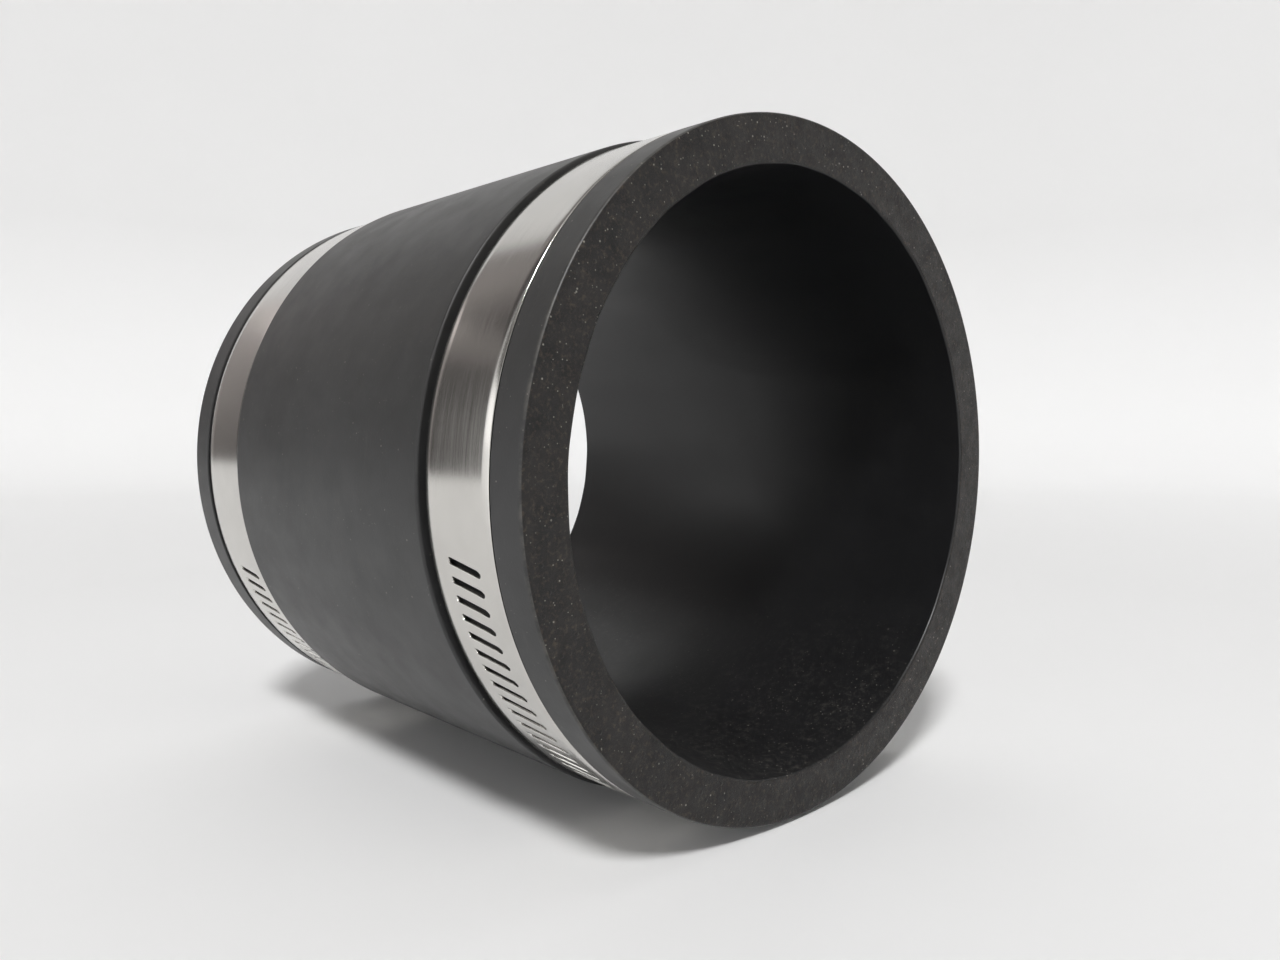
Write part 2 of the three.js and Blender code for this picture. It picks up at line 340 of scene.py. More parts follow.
def prism(name, outline, low, high, place, middle):
    """A closed solid from an outline of (across, height), run along the strip from low to high."""
    count = len(outline)
    verts = [place(along, middle + p[0], p[1]) for along in (low, high) for p in outline]
    faces = [tuple(range(count)), tuple(range(2 * count - 1, count - 1, -1))]
    faces += [(i, i + count, (i + 1) % count + count, (i + 1) % count) for i in range(count)]
    return outward(new_object(name, verts, faces))


# ---- material helpers ----
class Surface:
    """A new node material on one Principled shader, with short ways to add and link nodes."""

    def __init__(self, name):
        self.material = bpy.data.materials.new(name)
        self.material.use_nodes = True
        self.nodes = self.material.node_tree.nodes
        self.links = self.material.node_tree.links
        self.shader = self.nodes["Principled BSDF"]

    def add(self, kind, inputs=None, **settings):
        node = self.nodes.new(kind)
        for key, value in settings.items():
            setattr(node, key, value)
        for key, value in (inputs or {}).items():
            self.put(node.inputs[key], value)
        return node

    def put(self, socket, value):
        if isinstance(value, bpy.types.NodeSocket):
            self.links.new(value, socket)
        else:
            socket.default_value = value

    def set(self, **values):
        for key, value in values.items():
            self.put(self.shader.inputs[key.replace("_", " ")], value)

    def place(self, scale=(1.0, 1.0, 1.0)):
        """Object coordinates in metres, stretched by scale."""
        coordinates = self.add("ShaderNodeTexCoord").outputs["Object"]
        return self.add("ShaderNodeMapping", {"Vector": coordinates, "Scale": scale}).outputs["Vector"]

    def noise(self, scale, detail=3.0, roughness=0.55, stretch=(1.0, 1.0, 1.0)):
        inputs = {"Vector": self.place(stretch), "Scale": scale, "Detail": detail, "Roughness": roughness}
        return self.add("ShaderNodeTexNoise", inputs).outputs["Fac"]

    def ramp(self, value, low, high, start=0.0, end=1.0):
        inputs = {"Value": value, "From Min": low, "From Max": high, "To Min": start, "To Max": end}
        return self.add("ShaderNodeMapRange", inputs, clamp=True).outputs["Result"]

    def maths(self, operation, a, b=0.0):
        node = self.add("ShaderNodeMath", operation=operation, use_clamp=True)
        self.put(node.inputs[0], a)
        self.put(node.inputs[1], b)
        return node.outputs["Value"]

    def dot(self, a, b):
        inputs = {0: a, 1: b}
        return self.add("ShaderNodeVectorMath", inputs, operation="DOT_PRODUCT").outputs["Value"]

    def mix(self, factor, a, b):
        node = self.add("ShaderNodeMix", data_type="RGBA")
        self.put(node.inputs["Factor"], factor)
        self.put(node.inputs["A"], (*a, 1.0) if isinstance(a, tuple) else a)
        self.put(node.inputs["B"], (*b, 1.0) if isinstance(b, tuple) else b)
        return node.outputs["Result"]

    def specks(self, scale, size, share_kept):
        """Small separate spots of uneven strength: above 0 in a spot, and 0 between them."""
        cell = self.add("ShaderNodeTexVoronoi", {"Vector": self.place(), "Scale": scale, "Randomness": 1.0})
        spot = self.ramp(cell.outputs["Distance"], size, size * 0.5, 0.0, 1.0)
        parts = self.add("ShaderNodeSeparateColor", {"Color": cell.outputs["Color"]})
        kept = self.ramp(parts.outputs["Red"], 1.0 - share_kept, 1.001 - share_kept, 0.0, 1.0)
        strength = self.ramp(parts.outputs["Green"], 0.0, 1.0, 0.25, 1.0)
        return self.maths("MULTIPLY", self.maths("MULTIPLY", spot, kept), strength)

    def along(self, axis):
        """The position along one axis, in metres from the sleeve's centre."""
        return self.add("ShaderNodeSeparateXYZ", {"Vector": self.place()}).outputs[axis]

    def bump(self, height, strength, distance):
        inputs = {"Height": height, "Strength": strength, "Distance": distance}
        self.set(Normal=self.add("ShaderNodeBump", inputs).outputs["Normal"])


def tinted(rgb, factor):
    return tuple(min(1.0, c * factor) for c in rgb)


def moulded_rubber():
    """The sleeve's outside: satin charcoal with a fine grain, a top lightened partly by dust and partly by
    painted light, a painted highlight along each rim's edge, scuffs and light specks.
    """
    made = Surface("moulded_rubber")
    base, dust = tuple(colours().rubber), tuple(colours().dust)
    bloom = made.ramp(made.noise(55, 5.0, 0.65), 0.35, 0.7)
    body = made.mix(bloom, tinted(base, 0.75), tinted(base, 1.35))
    # Painted light: the top is lightened towards its highest point, partly by dust lying there and partly as
    # a painted sheen of light from above.
    top = made.ramp(made.along("Z"), 0.0, BODY_RADIUS, 0.0, 0.10)
    lie = made.maths("MULTIPLY", top, made.noise(300, 4.0, 0.7))
    top_dusted_and_lit = made.mix(lie, body, dust)
    scuffs = made.ramp(made.noise(140, 6.0, 0.75, stretch=(1.0, 3.5, 1.0)), 0.60, 0.78, 0.0, 0.06)
    scuffed = made.mix(scuffs, top_dusted_and_lit, dust)
    # Painted highlight: a lighter, uneven line along the rim's rounded outer edge next to each cut end.
    depth = made.maths("ABSOLUTE", made.along("Y"))
    edge = made.ramp(depth, SLEEVE_HALF - 0.8 * MM, SLEEVE_HALF - 0.1 * MM, 0.0, 0.5)
    rim_highlight = made.maths("MULTIPLY", edge, made.ramp(made.noise(500, 5.0, 0.7), 0.4, 0.7))
    rim_highlighted = made.mix(rim_highlight, scuffed, tinted(dust, 0.4))
    fine = made.maths("MAXIMUM", made.specks(1300, 0.12, 0.30), made.specks(520, 0.085, 0.40))
    made.set(Base_Color=made.mix(made.maths("MULTIPLY", fine, 0.55), rim_highlighted, dust))
    made.set(Roughness=made.ramp(made.noise(160, 5.0), 0.3, 0.7, 0.40, 0.49))
    made.set(Sheen_Weight=0.03)
    made.set(Sheen_Roughness=0.5)
    made.bump(made.noise(2600, 4.0, 0.6), 0.3, 0.05 * MM)
    return made.material


def cut_rubber():
    """The cut ends: brown-black, rough and mottled, and speckled with pale filler."""
    made = Surface("cut_rubber")
    base, dust = tuple(colours().rubber_cut), tuple(colours().dust)
    patch = made.ramp(made.noise(150, 6.0, 0.75), 0.36, 0.64)
    body = made.mix(patch, tinted(base, 0.2), tinted(base, 1.9))
    fleck = made.ramp(made.noise(1300, 4.0, 0.75), 0.52, 0.70, 0.0, 0.16)
    body = made.mix(fleck, body, (0.26, 0.18, 0.12))
    fine = made.maths("MAXIMUM", made.specks(1500, 0.17, 0.42), made.specks(800, 0.14, 0.32))
    uneven = made.ramp(made.noise(70, 3.0, 0.6), 0.38, 0.6, 0.25, 1.0)
    made.set(Base_Color=made.mix(made.maths("MULTIPLY", fine, uneven), body, dust))
    made.set(Roughness=made.ramp(made.noise(400, 4.0), 0.3, 0.7, 0.42, 0.62))
    made.set(Specular_IOR_Level=0.4)
    grain = made.maths("ADD", made.noise(1500, 6.0, 0.75), made.specks(1000, 0.3, 0.35))
    made.bump(grain, 0.8, 0.14 * MM)
    return made.material


DUST_SIDE = (0.42, 0.0, 0.91)  # away from the side of the bore where dust lies


def bore_rubber():
    """The bore: smooth and dark with a soft gloss, and dust lying along its lowest part."""
    made = Surface("bore_rubber")
    base, dust = tuple(colours().rubber_bore), tuple(colours().dust)
    up = made.dot(made.place(), DUST_SIDE)
    low = made.ramp(up, -0.1 * BODY_RADIUS, -0.8 * BODY_RADIUS, 0.04, 1.0)
    near = made.ramp(made.maths("ABSOLUTE", made.along("Y")), 0.1 * SLEEVE_HALF, 0.9 * SLEEVE_HALF, 0.3, 1.0)
    lie = made.maths("MULTIPLY", low, near)
    fine = made.maths("MAXIMUM", made.specks(1500, 0.2, 0.45), made.specks(700, 0.15, 0.3))
    film = made.ramp(made.noise(800, 6.0, 0.8), 0.50, 0.72, 0.0, 0.24)
    clumps = made.ramp(made.noise(110, 4.0, 0.65), 0.38, 0.62, 0.3, 1.0)
    powder = made.maths("MULTIPLY", made.maths("MAXIMUM", fine, film), made.maths("MULTIPLY", lie, clumps))
    made.set(Base_Color=made.mix(made.maths("MULTIPLY", powder, 0.95), base, dust))
    smooth = made.ramp(made.noise(90, 4.0), 0.3, 0.7, 0.33, 0.40)
    made.set(Roughness=made.maths("ADD", smooth, made.ramp(lie, 0.2, 1.0, 0.0, 0.2)))
    made.bump(made.noise(1800, 4.0), 0.15, 0.04 * MM)
    return made.material


def strip_steel():
    """Rolled stainless strip: bright, with fine scratches that run along the strip."""
    made = Surface("strip_steel")
    base = tuple(colours().band)
    scratches = made.noise(60, 6.0, 0.7, stretch=(1.0, 90.0, 1.0))
    smudge = made.ramp(made.noise(90, 3.0), 0.3, 0.75)
    made.set(Base_Color=made.mix(smudge, tinted(base, 1.04), tinted(base, 0.9)))
    made.set(Metallic=1.0)
    made.set(Roughness=made.ramp(scratches, 0.3, 0.7, 0.12, 0.22))
    made.bump(scratches, 0.12, 0.02 * MM)
    return made.material


def pressed_steel():
    """Pressed stainless sheet of the housing and the saddle."""
    made = Surface("pressed_steel")
    base = tuple(colours().housing)
    smudge = made.ramp(made.noise(140, 4.0), 0.3, 0.7)
    made.set(Base_Color=made.mix(smudge, tinted(base, 1.05), tinted(base, 0.85)))
    made.set(Metallic=1.0)
    made.set(Roughness=made.ramp(made.noise(700, 5.0), 0.3, 0.7, 0.24, 0.42))
    made.bump(made.noise(900, 4.0), 0.12, 0.03 * MM)
    return made.material


def turned_steel():
    """The worm screws: rolled thread and cold-formed head."""
    made = Surface("turned_steel")
    base = tuple(colours().screw)
    smudge = made.ramp(made.noise(300, 4.0), 0.3, 0.7)
    made.set(Base_Color=made.mix(smudge, tinted(base, 1.08), tinted(base, 0.8)))
    made.set(Metallic=1.0)
    made.set(Roughness=made.ramp(made.noise(1200, 4.0), 0.3, 0.7, 0.22, 0.40))
    made.bump(made.noise(1500, 3.0), 0.15, 0.03 * MM)
    return made.material


# azimuths, reaches and soft edges of the stage's panel and stripe, in degrees
DIM_PANEL = (112, 18, 1.5)
PALER_SIDE = (94, 15, 5)
PALER_MIDDLE = (106, 4.5, 4)
BRIGHT_STRIPE = (165, 34, 2.0)


def studio_card():
    """The floor and its walls: pale, with a faint glow, one dim panel and one bright stripe."""
    made = Surface("studio_card")
    base, ground = tuple(colours().floor), CAD_BOX[0].z
    flat = made.place((1.0, 1.0, 0.0))
    height = made.along("Z")
    away = made.add("ShaderNodeVectorMath", {0: flat}, operation="NORMALIZE").outputs["Vector"]

    def facing(azimuth, reach, blur):
        """1 where a wall stands within reach of the azimuth, in degrees."""
        way = (math.cos(math.radians(azimuth)), math.sin(math.radians(azimuth)), 0.0)
        edges = [math.cos(math.radians(reach + side * blur)) for side in (1, -1)]
        return made.ramp(made.dot(away, way), *edges)

    def between(low, start, end, high):
        """1 between two heights above the floor, with soft ends."""
        rise = made.ramp(height, ground + low, ground + start)
        return made.maths("MULTIPLY", rise, made.ramp(height, ground + end, ground + high, 1.0, 0.0))

    shade = made.ramp(made.noise(3.0, 2.0), 0.3, 0.7)
    pale = made.mix(shade, tinted(base, 0.985), base)
    tones = made.add("ShaderNodeValToRGB", {"Fac": made.ramp(height, ground, ground + WALL_HEIGHT)})
    stops = tones.color_ramp.elements
    while len(stops) < len(PANEL_TONES):
        stops.new(1.0)
    for stop, (place, tone) in zip(stops, PANEL_TONES):
        stop.position = place
        stop.color = (tone * 1.06, tone * 0.98, tone * 0.96, 1.0)
    panel = made.maths("MULTIPLY", facing(*DIM_PANEL), made.ramp(height, ground + 0.012, ground + 0.03))
    lighter = made.ramp(facing(*PALER_SIDE), 0.0, 1.0, 0.17, 0.6)
    lighter = made.maths("ADD", lighter, made.maths("MULTIPLY", facing(*PALER_MIDDLE), 0.4))
    inputs = {0: tones.outputs["Color"], "Scale": lighter}
    dim = made.add("ShaderNodeVectorMath", inputs, operation="SCALE")
    made.set(Base_Color=made.mix(panel, pale, dim.outputs["Vector"]))
    made.set(Roughness=0.9)
    radius = made.add("ShaderNodeVectorMath", {0: flat}, operation="LENGTH").outputs["Value"]
    glow = made.ramp(radius, 0.3 * FLOOR_RADIUS, FLOOR_RADIUS, 0.0, WALL_GLOW)
    glow = made.maths("MULTIPLY", glow, made.ramp(height, ground + 0.05, ground + 0.3, 1.0, 0.0))
    glow = made.maths("MULTIPLY", glow, made.maths("SUBTRACT", 1.0, panel))
    stripe = made.maths("MULTIPLY", facing(*BRIGHT_STRIPE), between(0.14, 0.24, 0.42, 0.52))
    made.set(Emission_Color=(1.0, 1.0, 1.0, 1.0))
    made.set(Emission_Strength=made.maths("ADD", glow, made.maths("MULTIPLY", stripe, STRIPE_GLOW)))
    return made.material


# ---- the sleeve ----
EDGE_WANDER = 0.12 * MM


def sleeve_outline():
    """Half the section's corners, as (radius, along, rounding), from the bore to the body."""
    s = sleeve_sizes()
    rim = SLEEVE_HALF - s.rim_length
    shoulder = rim - s.groove_width
    groove = s.rim_radius - s.groove_depth
    return [
        (s.bore_radius, SLEEVE_HALF - 4 * s.bore_edge, 0.0),
        (s.bore_radius, SLEEVE_HALF, s.bore_edge),
        (s.rim_radius, SLEEVE_HALF, s.rim_edge),
        (s.rim_radius, rim, 0.2 * MM),
        (groove, rim, 0.15 * MM),
        (groove, shoulder, 0.15 * MM),
        (BODY_RADIUS, shoulder, s.shoulder_edge),
    ]


def wander(angle):
    """A slow unevenness round the cut edge, between about -1 and 1."""
    slow = math.sin(3 * angle + 0.8) + math.sin(7 * angle + 2.1)
    quick = math.sin(17 * angle) + math.sin(31 * angle + 1.0)
    return (slow + quick) / 4


def make_sleeve():
    half = sleeve_outline()
    other = [(radius, -along, rounding) for radius, along, rounding in reversed(half)]
    outline = rounded(half + other, steps=5)
    verts, faces = revolve_mesh(outline, 288)
    sleeve = outward(new_object("rubber_sleeve", verts, faces))
    moulded, cut, bore = 0, 1, 2
    for material in (moulded_rubber(), cut_rubber(), bore_rubber()):
        sleeve.data.materials.append(material)
    sizes = sleeve_sizes()
    for vertex in sleeve.data.vertices:
        place = vertex.co
        radius, angle = math.hypot(place.x, place.z), math.atan2(place.z, place.x)
        if radius < sizes.bore_radius + sizes.bore_edge and abs(place.y) > SLEEVE_HALF - 2 * sizes.bore_edge:
            grow = 1 + EDGE_WANDER * (1 + wander(angle)) / radius
            place.x, place.z = place.x * grow, place.z * grow
    bore_limit = sizes.bore_radius + 0.8 * sizes.bore_edge
    for face in sleeve.data.polygons:
        radius = math.hypot(face.center.x, face.center.z)
        face.material_index = moulded
        if abs(face.center.y) > SLEEVE_HALF - 0.1 * MM:
            face.material_index = cut
        elif radius < bore_limit:
            face.material_index = bore
    soften(sleeve, 60)
    return finish_piece(sleeve, "sleeve", "sleeve_rubber", "sleeve")


def finish_piece(piece, body, slot, *nodes):
    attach(piece, body)
    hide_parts(*nodes)
    return piece


# ---- the strips ----
class Strip:
    """A steel strip bent round the sleeve, as a grid of columns along it and rows across it."""

    ARC_ANGLES = [math.radians(30 * k) for k in range(7)]
    PLAIN_STEP = 1.0 * MM

    def __init__(self, start, end, slots, inner_at, middle, round_end=False):
        self.sizes, self.stack = clamp_sizes(), Stack()
        self.start, self.end, self.slots = start, end, slots
        self.inner_at, self.middle, self.round_end = inner_at, middle, round_end
        self.verts, self.faces, self.index = [], [], {}
        self.columns = self.make_columns()
        self.rows = self.make_rows()

    def make_columns(self):
        """(along, slot offset or None) of each column."""
        half = self.sizes.slot_width / 2
        pitch = self.sizes.slot_pitch
        margin = 0.25 * MM
        columns = []
        place = self.start
        for slot in self.slots:
            columns += self.plain_columns(place, slot - pitch / 2)
            columns.append((slot - half - margin, None))
            columns += [(slot - half * math.cos(a), -half * math.cos(a)) for a in self.ARC_ANGLES]
            columns.append((slot + half + margin, None))
            place = slot + pitch / 2
        columns += self.plain_columns(place, self.end)
        columns.append((self.end, None))
        return columns

    def plain_columns(self, low, high):
        span = high - low
        count = max(1, math.ceil(span / self.PLAIN_STEP)) if span > 1e-6 else 1
        return [(low + span * i / count, None) for i in range(count)]

    def make_rows(self):
        """Distances across the strip. The slot's rounded ends lie on the two 'arc' rows."""
        edge = BAND_WIDTH / 2 - self.sizes.strip_edge
        clear = self.sizes.slot_length / 2 + 0.5 * MM
        outer = [edge, (edge + clear) / 2, clear, "arc", 1.6 * MM, 0.0]
        return [v if v == "arc" else -v for v in outer] + outer[-2::-1]

    def across(self, row, offset):
        value = self.rows[row]
        if value != "arc":
            return value
        sign = -1 if row < len(self.rows) / 2 else 1
        radius = self.sizes.slot_width / 2
        bulge = math.sqrt(max(0.0, radius**2 - offset**2)) if offset is not None else 0.0
        return sign * (self.sizes.slot_length / 2 - radius + bulge)

    def half_width(self, along):
        """The free end narrows round its corners."""
        corner = self.sizes.tail_corner
        past = along - (self.end - corner)
        if not self.round_end or past <= 0:
            return BAND_WIDTH / 2
        return BAND_WIDTH / 2 - corner + math.sqrt(max(0.0, corner**2 - past**2))

    def slant(self, along):
        """How far a column leans with the slots: fully, but not at the free end."""
        if not self.round_end:
            return 1.0
        return min(1.0, max(0.0, (self.end - along) / (2 * self.sizes.tail_corner)))

    def vertex(self, along, across, height):
        scale = self.half_width(along) / (BAND_WIDTH / 2)
        place = along - across * math.tan(self.sizes.slot_tilt) * self.slant(along)
        radius = self.inner_at(place) + height
        self.verts.append(at_angle(radius, place / self.stack.ring_outer, self.middle + across * scale))
        return len(self.verts) - 1

    def rim_points(self, side):
        """Across and height of the points that round one long edge, from the top face down."""
        edge, thick = self.sizes.strip_edge, self.sizes.thickness
        cut = edge * 0.29
        width = BAND_WIDTH / 2
        points = [(width - cut, thick - cut), (width, thick - edge), (width, edge), (width - cut, cut)]
        return [(side * a, h) for a, h in points]

    def is_hole(self, column, row):
        """Whether the cell after this column and row lies in a slot."""
        if self.columns[column][1] is None or self.columns[column + 1][1] is None:
            return False
        arcs = [i for i, v in enumerate(self.rows) if v == "arc"]
        return arcs[0] <= row < arcs[1]

    def fill_vertices(self):
        last = len(self.rows) - 1
        for c, (along, offset) in enumerate(self.columns):
            inner = offset is not None and abs(offset) < self.sizes.slot_width / 2 - 1e-7
            arcs = [i for i, v in enumerate(self.rows) if v == "arc"]
            for r in range(last + 1):
                if inner and arcs[0] < r < arcs[1]:
                    continue
                for side, height in (("top", self.sizes.thickness), ("low", 0.0)):
                    self.index[c, r, side] = self.vertex(along, self.across(r, offset), height)
            for sign, name in ((1, "right"), (-1, "left")):
                for k, (across, height) in enumerate(self.rim_points(sign)):
                    self.index[c, name, k] = self.vertex(along, across, height)

    def loop(self, c):
        """The closed outline of one column that has no hole."""
        last = len(self.rows) - 1
        top = [self.index[c, r, "top"] for r in range(last + 1)]
        right = [self.index[c, "right", k] for k in range(4)]
        low = [self.index[c, r, "low"] for r in range(last, -1, -1)]
        left = [self.index[c, "left", k] for k in range(3, -1, -1)]
        return top + right + low + left

    def fill_faces(self):
        index, last = self.index, len(self.rows) - 1
        for c in range(len(self.columns) - 1):
            for r in range(last):
                if self.is_hole(c, r):
                    continue
                for side in ("top", "low"):
                    corners = ((c, r), (c + 1, r), (c + 1, r + 1), (c, r + 1))
                    self.faces.append(tuple(index[a, b, side] for a, b in corners))
            for name, row in (("right", last), ("left", 0)):
                a = [index[c, row, "top"], *[index[c, name, k] for k in range(4)], index[c, row, "low"]]
                d = c + 1
                b = [index[d, row, "top"], *[index[d, name, k] for k in range(4)], index[d, row, "low"]]
                self.faces += [(a[k], a[k + 1], b[k + 1], b[k]) for k in range(5)]
        self.faces.append(tuple(self.loop(0)))
        self.faces.append(tuple(self.loop(len(self.columns) - 1)))

    def fill_walls(self):
        """The walls inside every slot."""
        arcs = [i for i, v in enumerate(self.rows) if v == "arc"]
        count = len(self.ARC_ANGLES)
        first = 0
        while first < len(self.columns):
            if self.columns[first][1] is None:
                first += 1
                continue
            rim = [(first, r) for r in range(arcs[0], arcs[1] + 1)]
            rim += [(first + k, arcs[1]) for k in range(1, count)]
            rim += [(first + count - 1, r) for r in range(arcs[1] - 1, arcs[0] - 1, -1)]
            rim += [(first + k, arcs[0]) for k in range(count - 2, 0, -1)]
            for here, there in zip(rim, rim[1:] + rim[:1]):
                corners = [(*here, "top"), (*there, "top"), (*there, "low"), (*here, "low")]
                self.faces.append(tuple(self.index[key] for key in corners))
            first += count

    def make(self, name):
        self.fill_vertices()
        self.fill_faces()
        self.fill_walls()
        return outward(new_object(name, self.verts, self.faces))


def smooth_step(value, low, high):
    t = min(1.0, max(0.0, (value - low) / (high - low)))
    return t * t * (3 - 2 * t)


CLIMB_TOP = 9.2 * MM  # from the screw's middle to the top of the ring's climb
CLIMB_LENGTH = 12.0 * MM
FIXED_END_REACH = 7.0 * MM  # how far the ring's other end runs back under the saddle
STRIP_CORNER = 0.05 * MM


def ring_inner_at(stack):
    """The ring lies in its groove, and climbs onto the saddle where it goes into the housing."""
    top = -CLIMB_TOP
    start = top - CLIMB_LENGTH

    def inner(along):
        return stack.ring_inner + (stack.tail_inner - stack.ring_inner) * smooth_step(along, start, top)

    return inner


def entry_reach(stack):
    """How far before the screw's middle the ring's strip ends, inside the housing."""
    clamp = clamp_sizes()
    return (clamp.housing_length / 2 - END_WALL) * stack.ring_outer / stack.tail_inner


def finish_strip(strip, body, node):
    strip.data.materials.append(bpy.data.materials["strip_steel"])
    bevel(strip, STRIP_CORNER, 1, 60)
    soften(strip, 50)
    return finish_piece(strip, body, "band_steel", node)


def make_band(clamp):
    """The ring of one clamp, with its slotted half."""
    sizes, stack = clamp_sizes(), Stack()
    count = sizes.front_slots if clamp == "front" else sizes.rear_slots
    end = -entry_reach(stack)
    start = -2 * math.pi * stack.ring_outer - FIXED_END_REACH
    last = math.floor(end / sizes.slot_pitch - 0.9)
    slots = [k * sizes.slot_pitch for k in range(-count, last + 1)]
    strip = Strip(start, end, slots, ring_inner_at(stack), clamp_middle(clamp))
    return finish_strip(strip.make(f"{clamp}_strip_ring"), f"{clamp}_clamp", f"{clamp}_band")


def make_tail(clamp):
    """The free end of one clamp's strip, past the ring."""
    sizes, stack = clamp_sizes(), Stack()
    travel = 2 * sizes.slot_pitch
    start = -entry_reach(stack) + sizes.clearance + travel
    end = sizes.tail_reach * stack.ring_outer / stack.tail_inner
    first = math.ceil(start / sizes.slot_pitch + 0.9)
    last = math.floor((end - 2.0 * MM) / sizes.slot_pitch - 1.2)
    slots = [k * sizes.slot_pitch for k in range(first, last + 1)]
    strip = Strip(start, end, slots, lambda along: stack.tail_inner, clamp_middle(clamp), round_end=True)
    return finish_strip(strip.make(f"{clamp}_strip_tail"), f"{clamp}_tail", f"{clamp}_band_tail")


# ---- the saddles ----
SADDLE_HALF = 7.9 * MM
TONGUE_HALF = 2.2 * MM
TONGUE_HEIGHT = 0.8 * MM


def make_saddle(clamp):
    """The curved channel under the strip, with its ears and tongues."""
    stack, middle = Stack(), clamp_middle(clamp)
    floor = BAND_WIDTH / 2 - clamp_sizes().clearance
    bend = 0.25 * MM
    section = [
        (-stack.ear_outer, stack.ride, bend),
        (-floor, stack.ride, bend),
        (-floor, stack.seat, bend),
        (floor, stack.seat, bend),
        (floor, stack.ride, bend),
        (stack.ear_outer, stack.ride, bend),
        (stack.ear_outer, stack.ear_top, 0.1 * MM),
        (stack.ear_inner, stack.ear_top, 0.1 * MM),
        (stack.ear_inner, stack.saddle_top, 0.1 * MM),
        (-stack.ear_inner, stack.saddle_top, 0.1 * MM),
        (-stack.ear_inner, stack.ear_top, 0.1 * MM),
        (-stack.ear_outer, stack.ear_top, 0.1 * MM),
    ]
    outline = rounded(section, 3, 0.05 * MM)
    count, steps = len(outline), 24
    half = SADDLE_HALF / stack.saddle_top
    angles = [-half + 2 * half * i / steps for i in range(steps + 1)]
    verts = [at_angle(p[1], a, middle + p[0]) for a in angles for p in outline]
    saddle = outward(new_object(f"{clamp}_saddle_plate", verts, swept_faces(count, steps)))
    for side in (-1, 1):
        low, high = stack.ear_inner + 0.3 * MM, stack.leg_outer
        foot, top = stack.saddle_top, stack.saddle_top + TONGUE_HEIGHT
        box = [(side * low, foot), (side * high, foot), (side * high, top), (side * low, top)]
        tongue = prism("tongue", box, -TONGUE_HALF, TONGUE_HALF, at_housing, middle)
        combine(saddle, tongue, "UNION")
    saddle.data.materials.append(bpy.data.materials["pressed_steel"])
    soften(saddle)
    return finish_piece(saddle, f"{clamp}_clamp", "housing_steel", f"{clamp}_saddle")


# ---- the housings ----
END_WALL = 1.0 * MM
WINDOW_HALF = 2.5 * MM


def housing_outline(stack):
    """The bent sheet's section: legs, shoulders and the arch over the screw."""
    bend, sheet = 0.9 * MM, clamp_sizes().sheet
    inner_bend = bend - sheet * 0.7
    under, over = stack.shoulder, stack.shoulder + sheet
    foot_edge = 0.08 * MM
    side = [
        (stack.arch_outer, over, 0.6 * MM),
        (stack.leg_outer, over, bend),
        (stack.leg_outer, stack.ride, foot_edge),
        (stack.leg_inner, stack.ride, foot_edge),
        (stack.leg_inner, under, inner_bend),
        (stack.arch_inner, under, 0.5 * MM),
    ]
    right = [Vector(p) for p in rounded_open(side)]
    left = [Vector((-p[0], p[1])) for p in reversed(right)]
    centre = (0.0, SCREW_RADIUS)
    outer = arc_points(centre, stack.arch_outer, math.pi, 0.0, 28)
    inner = arc_points(centre, stack.arch_inner, 0.0, math.pi, 28)
    return [Vector(p) for p in outer] + right + [Vector(p) for p in inner] + left


def rounded_open(corners, steps=4):
    """Rounds the corners of a line that goes on past its first and last corners, upwards."""
    up = 10 * MM
    first, last = corners[0], corners[-1]
    closed = [(first[0], first[1] + up, 0.0), *corners, (last[0], last[1] + up, 0.0)]
    return rounded(closed, steps, 0.0)[1:-1]


def disc_outline(radius, bottom, steps=28):
    """The end wall: an arch with a straight foot."""
    arch = arc_points((0.0, SCREW_RADIUS), radius, 0.0, math.pi, steps)
    return [Vector(p) for p in arch] + [Vector((-radius, bottom)), Vector((radius, bottom))]


def circle_outline(radius, steps=40):
    ring = arc_points((0.0, SCREW_RADIUS), radius, 0.0, 2 * math.pi, steps)
    return [Vector(p) for p in ring[:-1]]


def make_housing(clamp):
    """The sheet housing with its two end walls, the screw's holes and the tongue windows."""
    sizes, stack, middle = clamp_sizes(), Stack(), clamp_middle(clamp)
    half, wall = sizes.housing_length / 2, END_WALL
    housing = prism(f"{clamp}_screw_housing", housing_outline(stack), -half, half, at_housing, middle)
    for low in (-half, half - wall):
        plate = disc_outline(stack.arch_inner + sizes.sheet / 2, stack.shoulder)
        ends = prism("wall", plate, low, low + wall, at_housing, middle)
        hole = circle_outline(sizes.neck_radius + sizes.clearance)
        drill = prism("drill", hole, low - wall, low + 2 * wall, at_housing, middle)
        combine(housing, combine(ends, drill, "DIFFERENCE"), "UNION")
    low = stack.saddle_top - sizes.clearance
    high = stack.saddle_top + TONGUE_HEIGHT + sizes.clearance
    wide = stack.leg_outer + 1 * MM
    window = [(-wide, low), (wide, low), (wide, high), (-wide, high)]
    opening = prism("window", window, -WINDOW_HALF, WINDOW_HALF, at_housing, middle)
    combine(housing, opening, "DIFFERENCE")
    housing.data.materials.append(bpy.data.materials["pressed_steel"])
    bevel(housing, 0.09 * MM, 2, 40)
    soften(housing)
    return finish_piece(housing, f"{clamp}_clamp", "housing_steel", f"{clamp}_housing")


# ---- the worm screws ----
COLLAR_RADIUS = 4.2 * MM
COLLAR_THICKNESS = 0.8 * MM
CORE_SETBACK = 1.3 * MM  # from the housing's outer end to the thread's core
TIP_REACH = 0.6 * MM
HEAD_SINK = 0.4 * MM  # how far the head starts inside the collar
DRIVER_SLOT_DEPTH = 1.6 * MM
DRIVER_SLOT_WIDTH = 1.3 * MM


def on_screw(along, radius, turn, middle):
    """A point about the screw's axis. Along grows towards the tip, turn is right-handed about it."""
    out, across = -radius * math.cos(turn), -radius * math.sin(turn)
    return at_housing(-along, middle + across, SCREW_RADIUS + out)


